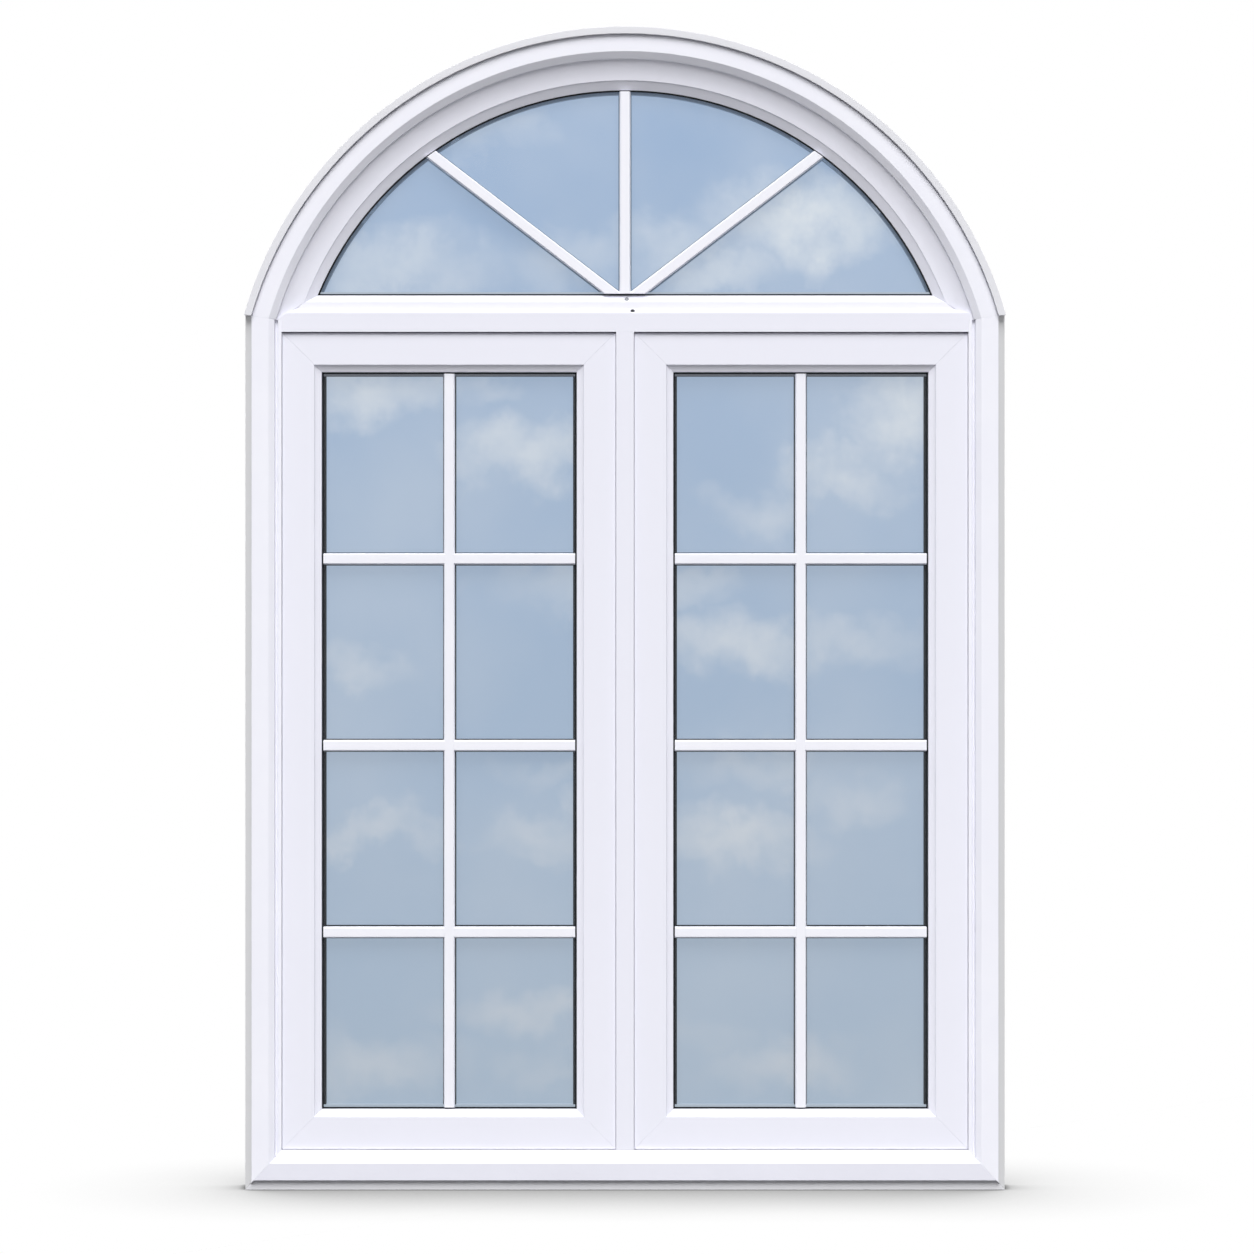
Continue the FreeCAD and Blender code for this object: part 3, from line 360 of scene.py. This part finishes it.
def glass_with_painted_sky(colours):
    """Low-emissivity coated glass seen by day, with a painted reflection of the sky: soft blue with pale
    veils of cloud.
    """
    material, tree, output = blank_material("Glass with painted sky reflection")
    place = add_node(tree, "ShaderNodeTexCoord").outputs["Object"]
    split = add_node(tree, "ShaderNodeSeparateXYZ", {"Vector": place})
    height = add_node(tree, "ShaderNodeMapRange", {"Value": split.outputs["Z"], "From Min": PANE_LOW,
                                                   "From Max": PANE_HIGH})
    sky = add_node(tree, "ShaderNodeMix", {"Factor": height.outputs["Result"], "A": (*colours.reflected_sky_low, 1),
                                           "B": (*colours.reflected_sky_high, 1)}, data_type="RGBA")
    cloud = add_node(tree, "ShaderNodeMix", {"Factor": height.outputs["Result"], "A": (*colours.reflected_cloud_low, 1),
                                             "B": (*colours.reflected_cloud_high, 1)}, data_type="RGBA")
    # Ragged cloud edges: the place is shifted by puffs about 130 mm across.
    puffs = add_node(tree, "ShaderNodeTexNoise", {"Vector": place, "Scale": per_metre(130.0), "Detail": 6.0,
                                                  "Roughness": 0.62})
    noise_middle = (0.5, 0.5, 0.5)
    centred = add_node(tree, "ShaderNodeVectorMath", {0: puffs.outputs["Color"], 1: noise_middle},
                       operation="SUBTRACT")
    drift = add_node(tree, "ShaderNodeVectorMath", {0: centred.outputs[0], "Scale": 0.22}, operation="SCALE")
    ragged = add_node(tree, "ShaderNodeVectorMath", {0: place, 1: drift.outputs[0]}, operation="ADD")
    veil = 0.0
    for bank in PAINTED_CLOUDS:
        density = bank_density(tree, ragged.outputs[0], bank)
        veil = add_node(tree, "ShaderNodeMath", {0: density, 1: veil}, operation="MAXIMUM").outputs[0]
    # Billows about 80 mm across break up the banks.
    billow = add_node(tree, "ShaderNodeTexNoise", {"Vector": place, "Scale": per_metre(80.0), "Detail": 6.0,
                                                   "Roughness": 0.6})
    fluff = add_node(tree, "ShaderNodeMapRange", {"Value": billow.outputs["Fac"], "From Min": 0.35,
                                                  "From Max": 0.65, "To Min": 0.72, "To Max": 1.08})
    veil = add_node(tree, "ShaderNodeMath", {0: veil, 1: fluff.outputs["Result"]},
                    operation="MULTIPLY").outputs[0]
    # A thin haze about 600 mm across keeps the open sky from lying flat.
    haze = add_node(tree, "ShaderNodeTexNoise", {"Vector": place, "Scale": per_metre(600.0), "Detail": 4.0})
    thin = add_node(tree, "ShaderNodeMapRange", {"Value": haze.outputs["Fac"], "From Min": 0.4,
                                                 "From Max": 0.75, "To Max": 0.35}).outputs["Result"]
    for clearing in PAINTED_CLEARINGS:
        left = add_node(tree, "ShaderNodeMath", {0: 1.0, 1: bank_density(tree, ragged.outputs[0], clearing)},
                        operation="SUBTRACT")
        thin = add_node(tree, "ShaderNodeMath", {0: thin, 1: left.outputs[0]},
                        operation="MULTIPLY").outputs[0]
    veil = add_node(tree, "ShaderNodeMath", {0: veil, 1: thin}, operation="MAXIMUM").outputs[0]
    blend = add_node(tree, "ShaderNodeMix", {"Factor": veil, "A": sky.outputs["Result"],
                                             "B": cloud.outputs["Result"]}, data_type="RGBA")
    # Painted reflection: the sky the pane would mirror is bright whatever light falls on it, so part of the
    # tone is emission and the pane glows.
    body = add_node(tree, "ShaderNodeVectorMath", {0: blend.outputs["Result"], "Scale": 0.16},
                    operation="SCALE")
    shader = add_node(tree, "ShaderNodeBsdfPrincipled", {"Base Color": body.outputs[0],
                                                         "Emission Color": blend.outputs["Result"],
                                                         "Emission Strength": 0.82, "Roughness": 0.05,
                                                         "IOR": 1.52})
    tree.links.new(shader.outputs[0], output.inputs["Surface"])
    return material


def powder_coat(name, colour):
    """Powder-coated die-cast metal: white, a little glossier than the sections, with a fine pebbled skin."""
    material, tree, output = blank_material(name)
    place = add_node(tree, "ShaderNodeTexCoord").outputs["Object"]
    # Pebble of the cured powder, about 1.2 mm.
    pebble = add_node(tree, "ShaderNodeTexNoise", {"Vector": place, "Scale": per_metre(1.2), "Detail": 1.0})
    tone = add_node(tree, "ShaderNodeTexNoise", {"Vector": place, "Scale": per_metre(20.0)})
    darker = [0.96 * channel for channel in colour]
    blend = add_node(tree, "ShaderNodeMix", {"Factor": tone.outputs["Fac"], "A": (*colour, 1),
                                             "B": (*darker, 1)}, data_type="RGBA")
    skin = add_node(tree, "ShaderNodeBump", {"Height": pebble.outputs["Fac"], "Strength": 0.05,
                                             "Distance": 0.2 * MM})
    shader = add_node(tree, "ShaderNodeBsdfPrincipled", {"Base Color": blend.outputs["Result"],
                                                         "Roughness": 0.3, "IOR": 1.5,
                                                         "Normal": skin.outputs[0]})
    tree.links.new(shader.outputs[0], output.inputs["Surface"])
    return material


def dress(name, material, arris=0.0, segments=2):
    """Give a CAD piece its material and, where an arris is named, softened edges."""
    piece = frame["nodes"][name]
    for slot in piece.material_slots:
        slot.link = "OBJECT"
        slot.material = material
    if arris == 0.0:
        return
    weld = piece.modifiers.new("Weld", "WELD")
    weld.merge_threshold = WELD_GAP
    bevel = piece.modifiers.new("Arris", "BEVEL")
    bevel.width = arris
    bevel.segments = segments
    bevel.limit_method = "ANGLE"
    bevel.angle_limit = SHARP_EDGE
    piece.modifiers.new("Flat faces", "WEIGHTED_NORMAL").weight = FLAT_WEIGHT
    for face in piece.data.polygons:
        face.use_smooth = True


def add_piece(name, mesh_maker, material):
    """New piece at the origin from a bmesh, riding with the frame."""
    mesh = bpy.data.meshes.new(name)
    shape = bmesh.new()
    mesh_maker(shape)
    bmesh.ops.recalc_face_normals(shape, faces=shape.faces)
    shape.to_mesh(mesh)
    shape.free()
    piece = bpy.data.objects.new(name, mesh)
    bpy.context.scene.collection.objects.link(piece)
    mesh.materials.append(material)
    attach(piece, "root")
    return piece


class WindowOperator(bpy.types.Operator):
    """Common base of the window's operators."""

    bl_options = {"REGISTER", "UNDO"}


class WINDOW_OT_outer_frame(WindowOperator):
    """Finish the sill, jambs, arched head, transom and mullion"""

    bl_idname = "window.outer_frame"
    bl_label = "Outer Frame"

    def execute(self, context):
        sizes, colours = context.scene.window_sizes, context.scene.window_colours
        upvc, mottle = colours.upvc, colours.upvc_warm
        # The jamb, sill and head lips carry painted shade in their colour.
        jamb_lip_shade = (colours.lip, HALF_WIDTH - sizes.lip + JAMB_LIP_SHADE_START)
        jamb = extruded_upvc("Extruded uPVC jamb", colours.frame, upvc, "Z", jamb_lip_shade)
        finishes = {
            "sill_rail": extruded_upvc("Extruded uPVC sill", colours.sill, mottle, "X",
                                       (colours.sill_lip_shade, -sizes.sill_lip_shade)),
            "left_jamb": jamb,
            "right_jamb": jamb,
            "arched_head": extruded_upvc("Bent uPVC head", colours.frame, upvc, "ARC",
                                         (colours.head_lip_shade, ARCH_RADIUS - sizes.lip + HEAD_LIP_SHADE_START)),
            "transom": extruded_upvc("Extruded uPVC transom", upvc, mottle, "X"),
            "mullion": extruded_upvc("Extruded uPVC mullion", upvc, mottle, "Z"),
        }
        for name, finish in finishes.items():
            dress(name, finish, sizes.arris)
        return {"FINISHED"}


class WINDOW_OT_sashes(WindowOperator):
    """Finish the sash rails, stiles and inside beads"""

    bl_idname = "window.sashes"
    bl_label = "Sashes"

    def execute(self, context):
        sizes, colours = context.scene.window_sizes, context.scene.window_colours
        level = extruded_upvc("Extruded uPVC sash rail", colours.upvc, colours.upvc_warm, "X")
        upright = extruded_upvc("Extruded uPVC sash stile", colours.upvc, colours.upvc_warm, "Z")
        for side in SIDES:
            for part in ("top_rail", "bottom_rail", "rail_beads"):
                dress(f"{side}_sash_{part}", level, sizes.arris)
            for part in ("outer_stile", "inner_stile", "stile_beads"):
                dress(f"{side}_sash_{part}", upright, sizes.arris)
        return {"FINISHED"}


class WINDOW_OT_mouldings(WindowOperator):
    """Finish the fanlight's coved arch moulding and bottom moulding"""

    bl_idname = "window.mouldings"
    bl_label = "Fanlight Mouldings"

    def execute(self, context):
        sizes, colours = context.scene.window_sizes, context.scene.window_colours
        for name, run in (("fanlight_arch_moulding", "ARC"), ("fanlight_bottom_moulding", "X")):
            finish = extruded_upvc(f"Extruded uPVC {name}", colours.upvc, colours.upvc_warm, run)
            dress(name, finish, sizes.arris)
        return {"FINISHED"}


class WINDOW_OT_glazing_bars(WindowOperator):
    """Finish the glazing bars on both faces of the glass"""

    bl_idname = "window.glazing_bars"
    bl_label = "Glazing Bars"

    def execute(self, context):
        sizes, colours = context.scene.window_sizes, context.scene.window_colours
        level = extruded_upvc("Extruded uPVC cross bar", colours.bar, colours.upvc, "X")
        upright = extruded_upvc("Extruded uPVC upright bar", colours.bar, colours.upvc, "Z")
        for side in SIDES:
            dress(f"{side}_sash_cross_bars", level, sizes.bar_arris)
            dress(f"{side}_sash_upright_bars", upright, sizes.bar_arris)
            dress(f"fanlight_{side}_radial_bars", level, sizes.bar_arris)
        dress("fanlight_centre_bars", upright, sizes.bar_arris)
        return {"FINISHED"}


class WINDOW_OT_glazing(WindowOperator):
    """Finish the panes, spacer bars, gaskets and weather seals"""

    bl_idname = "window.glazing"
    bl_label = "Glazing"

    def execute(self, context):
        sizes, colours = context.scene.window_sizes, context.scene.window_colours
        # The inner panes carry the painted sky reflection.
        clear, sky = clear_float_glass(), glass_with_painted_sky(colours)
        rubber = black_rubber(colours)
        for light in ("left_sash", "right_sash", "fanlight"):
            dress(f"{light}_outer_pane", clear)
            dress(f"{light}_inner_pane", sky)
            low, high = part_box(f"{light}_spacer")
            span = (low.z + sizes.spacer_width, high.z - sizes.spacer_width)
            # The upper run and the fanlight bar take painted sky reflection.
            colour, head = colours.spacer, colours.spacer_head_reflection
            if light == "fanlight":
                colour = head = colours.fan_spacer_reflection
            metal = spacer_metal(f"Anodised aluminium spacer {light}", colours, colour, head, span)
            dress(f"{light}_spacer", metal)
            # Clear glass throws no shade on what stands behind it.
            frame["nodes"][f"{light}_outer_pane"].visible_shadow = False
            dress(f"{light}_gaskets", rubber, sizes.gasket_round, 3)
        for side in SIDES:
            dress(f"{side}_sash_weather_seal", rubber, sizes.gasket_round)
        return {"FINISHED"}


class WINDOW_OT_handles(WindowOperator):
    """Finish the inside handles"""

    bl_idname = "window.handles"
    bl_label = "Inside Handles"

    def execute(self, context):
        sizes, colours = context.scene.window_sizes, context.scene.window_colours
        coat = powder_coat("Powder-coated handle", colours.handle)
        for side in SIDES:
            dress(f"{side}_sash_handle", coat, sizes.handle_round, 4)
        return {"FINISHED"}


class WINDOW_OT_screw_plugs(WindowOperator):
    """Set the two small screw plugs in the fanlight's bottom moulding"""

    bl_idname = "window.screw_plugs"
    bl_label = "Screw Plugs"

    def execute(self, context):
        sizes, colours = context.scene.window_sizes, context.scene.window_colours
        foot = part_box("fanlight_bottom_moulding")[0]
        for name, colour, (across, back, up), lean in PLUGS:
            place = (across, foot.y + back, foot.z + up)
            add_piece(name, lambda shape: self.plug(shape, sizes.plug_radius, place, math.radians(lean)),
                      powder_coat(f"Painted screw {name}", getattr(colours, colour)))
        return {"FINISHED"}

    def plug(self, shape, radius, place, lean):
        """Low domed head with a dimple, turned from its half section and leaned back with the moulding."""
        outline = ((0, 0.15), (0.3, 0.15), (0.4, 0.35), (0.75, 0.3), (1, 0), (1, -0.5))
        points = [shape.verts.new((across * radius, 0, up * radius)) for across, up in outline]
        edges = [shape.edges.new(pair) for pair in zip(points, points[1:])]
        bmesh.ops.spin(shape, geom=points + edges, cent=(0, 0, 0), axis=(0, 0, 1), angle=math.tau, steps=32,
                       use_merge=True)
        bmesh.ops.remove_doubles(shape, verts=shape.verts, dist=0.001 * MM)
        turn = Matrix.Rotation(math.radians(90) - lean, 4, "X")
        bmesh.ops.transform(shape, matrix=Matrix.Translation(place) @ turn, verts=shape.verts)


class WINDOW_OT_studio(WindowOperator):
    """Lay the pale floor, light the window and set up the camera"""

    bl_idname = "window.studio"
    bl_label = "Studio"

    def execute(self, context):
        settings = context.scene.window_stage
        self.floor(context, settings)
        self.lights(context, settings)
        self.world(context, settings)
        self.camera(context, settings)
        context.scene.view_settings.view_transform = "Standard"
        return {"FINISHED"}

    def seen(self, tree):
        """1 for rays that look at the studio, straight or by a mirror or glass, and 0 for its light."""
        rays = add_node(tree, "ShaderNodeLightPath").outputs
        straight = add_node(tree, "ShaderNodeMath", {0: rays["Is Camera Ray"], 1: rays["Is Glossy Ray"]},
                            operation="MAXIMUM")
        return add_node(tree, "ShaderNodeMath", {0: straight.outputs[0], 1: rays["Is Transmission Ray"]},
                        operation="MAXIMUM").outputs[0]

    def floor(self, context, settings):
        """A floor, white to the eye, that keeps the window's soft shadow and throws back less light."""
        mesh = bpy.data.meshes.new("studio_floor")
        shape = bmesh.new()
        bmesh.ops.create_grid(shape, x_segments=1, y_segments=1, size=FLOOR_HALF)
        shape.to_mesh(mesh)
        shape.free()
        floor = bpy.data.objects.new("studio_floor", mesh)
        context.scene.collection.objects.link(floor)
        material, tree, output = blank_material("Painted studio floor")
        seen = self.seen(tree)
        wide = add_node(tree, "ShaderNodeAmbientOcclusion", {"Distance": settings.shade_reach}, samples=16)
        shade = add_node(tree, "ShaderNodeMapRange", {"Value": wide.outputs["AO"], "From Min": FOOT_OF_WALL,
                                                      "To Min": settings.shade, "To Max": 1.0})
        tight = add_node(tree, "ShaderNodeAmbientOcclusion", {"Distance": settings.contact_reach}, samples=16)
        contact = add_node(tree, "ShaderNodeMapRange", {"Value": tight.outputs["AO"],
                                                        "From Min": FOOT_OF_WALL,
                                                        "To Min": settings.contact, "To Max": 1.0})
        tone = add_node(tree, "ShaderNodeMath", {0: shade.outputs["Result"], 1: contact.outputs["Result"]},
                        operation="MULTIPLY")
        paint = add_node(tree, "ShaderNodeBsdfDiffuse", {"Color": (*[settings.bounce] * 3, 1)})
        white = add_node(tree, "ShaderNodeEmission", {"Color": tone.outputs[0], "Strength": 1.0})
        both = add_node(tree, "ShaderNodeMixShader", {0: seen, 1: paint.outputs[0], 2: white.outputs[0]})
        tree.links.new(both.outputs[0], output.inputs["Surface"])
        mesh.materials.append(material)

    def lights(self, context, settings):
        """A broad key high in front, so ledges shine and undersides shade, and a fill for the inside face."""
        for name, side, height, strength in (
            ("soft_key", -1, settings.key_height, settings.key),
            ("back_fill", 1, settings.fill_height, settings.fill),
        ):
            data = bpy.data.lights.new(name, "SUN")
            data.energy = strength
            data.angle = settings.spread
            lamp = bpy.data.objects.new(name, data)
            source = Vector((0, side * math.cos(height), math.sin(height)))
            lamp.rotation_euler = source.to_track_quat("Z", "Y").to_euler()
            context.scene.collection.objects.link(lamp)

    def world(self, context, settings):
        """White to the eye; to everything else an even soft light that glows from left and right."""
        world = bpy.data.worlds.new("Studio")
        world.use_nodes = True
        tree = world.node_tree
        tree.nodes.clear()
        seen = self.seen(tree)
        towards = add_node(tree, "ShaderNodeTexCoord").outputs["Generated"]
        across = add_node(tree, "ShaderNodeSeparateXYZ", {"Vector": towards}).outputs["X"]
        sideways = add_node(tree, "ShaderNodeMath", {0: across}, operation="ABSOLUTE")
        strength = add_node(tree, "ShaderNodeMapRange", {"Value": sideways.outputs[0], "From Min": 0.6,
                                                         "To Min": settings.ambient,
                                                         "To Max": settings.ambient + settings.side},
                            interpolation_type="SMOOTHSTEP")
        light = add_node(tree, "ShaderNodeBackground", {"Color": (0.97, 0.98, 1, 1),
                                                        "Strength": strength.outputs["Result"]})
        white = add_node(tree, "ShaderNodeBackground", {"Color": (1, 1, 1, 1), "Strength": 1.0})
        both = add_node(tree, "ShaderNodeMixShader", {0: seen, 1: light.outputs[0], 2: white.outputs[0]})
        output = add_node(tree, "ShaderNodeOutputWorld")
        tree.links.new(both.outputs[0], output.inputs["Surface"])
        context.scene.world = world

    def camera(self, context, settings):
        """Level camera at half the picture's height, square to the frame."""
        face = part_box("sill_rail")[0].y
        data = bpy.data.cameras.new("photo_camera")
        data.sensor_width = 36.0
        data.lens = data.sensor_width * settings.distance / (IMAGE_SIDE * settings.pixel)
        data.clip_end = 100
        camera = bpy.data.objects.new("photo_camera", data)
        foot_pixel, centre_pixel, axis_pixel = 1190.5, IMAGE_SIDE / 2, 625.0
        camera.location = ((centre_pixel - axis_pixel) * settings.pixel, face - settings.distance,
                           (foot_pixel - centre_pixel) * settings.pixel)
        camera.rotation_euler = (math.radians(90), 0, 0)
        context.scene.collection.objects.link(camera)
        context.scene.camera = camera


OPERATORS = (WINDOW_OT_outer_frame, WINDOW_OT_sashes, WINDOW_OT_mouldings, WINDOW_OT_glazing_bars,
             WINDOW_OT_glazing, WINDOW_OT_handles, WINDOW_OT_screw_plugs, WINDOW_OT_studio)


class WINDOW_PT_finishes(bpy.types.Panel):
    """Lists the window's sizes, colours and operators"""

    bl_idname = "WINDOW_PT_finishes"
    bl_label = "Arched Window"
    bl_space_type = "VIEW_3D"
    bl_region_type = "UI"
    bl_category = "Window"

    def draw(self, context):
        for group in (context.scene.window_sizes, context.scene.window_colours, context.scene.window_stage):
            box = self.layout.box()
            for name in group.__annotations__:
                box.prop(group, name)
        for operator in OPERATORS:
            self.layout.operator(operator.bl_idname)


GROUPS = {"window_sizes": WindowSizes, "window_colours": WindowColours, "window_stage": StageSettings}


def register():
    for group in GROUPS.values():
        bpy.utils.register_class(group)
    for name, group in GROUPS.items():
        setattr(bpy.types.Scene, name, PointerProperty(type=group))
    for item in (*OPERATORS, WINDOW_PT_finishes):
        bpy.utils.register_class(item)


def unregister():
    for item in (WINDOW_PT_finishes, *reversed(OPERATORS)):
        bpy.utils.unregister_class(item)
    for name, group in GROUPS.items():
        delattr(bpy.types.Scene, name)
        bpy.utils.unregister_class(group)


def main():
    register()
    bpy.ops.window.outer_frame()
    bpy.ops.window.sashes()
    bpy.ops.window.mouldings()
    bpy.ops.window.glazing_bars()
    bpy.ops.window.glazing()
    bpy.ops.window.handles()
    bpy.ops.window.screw_plugs()
    bpy.ops.window.studio()


if __name__ == "__main__":
    main()
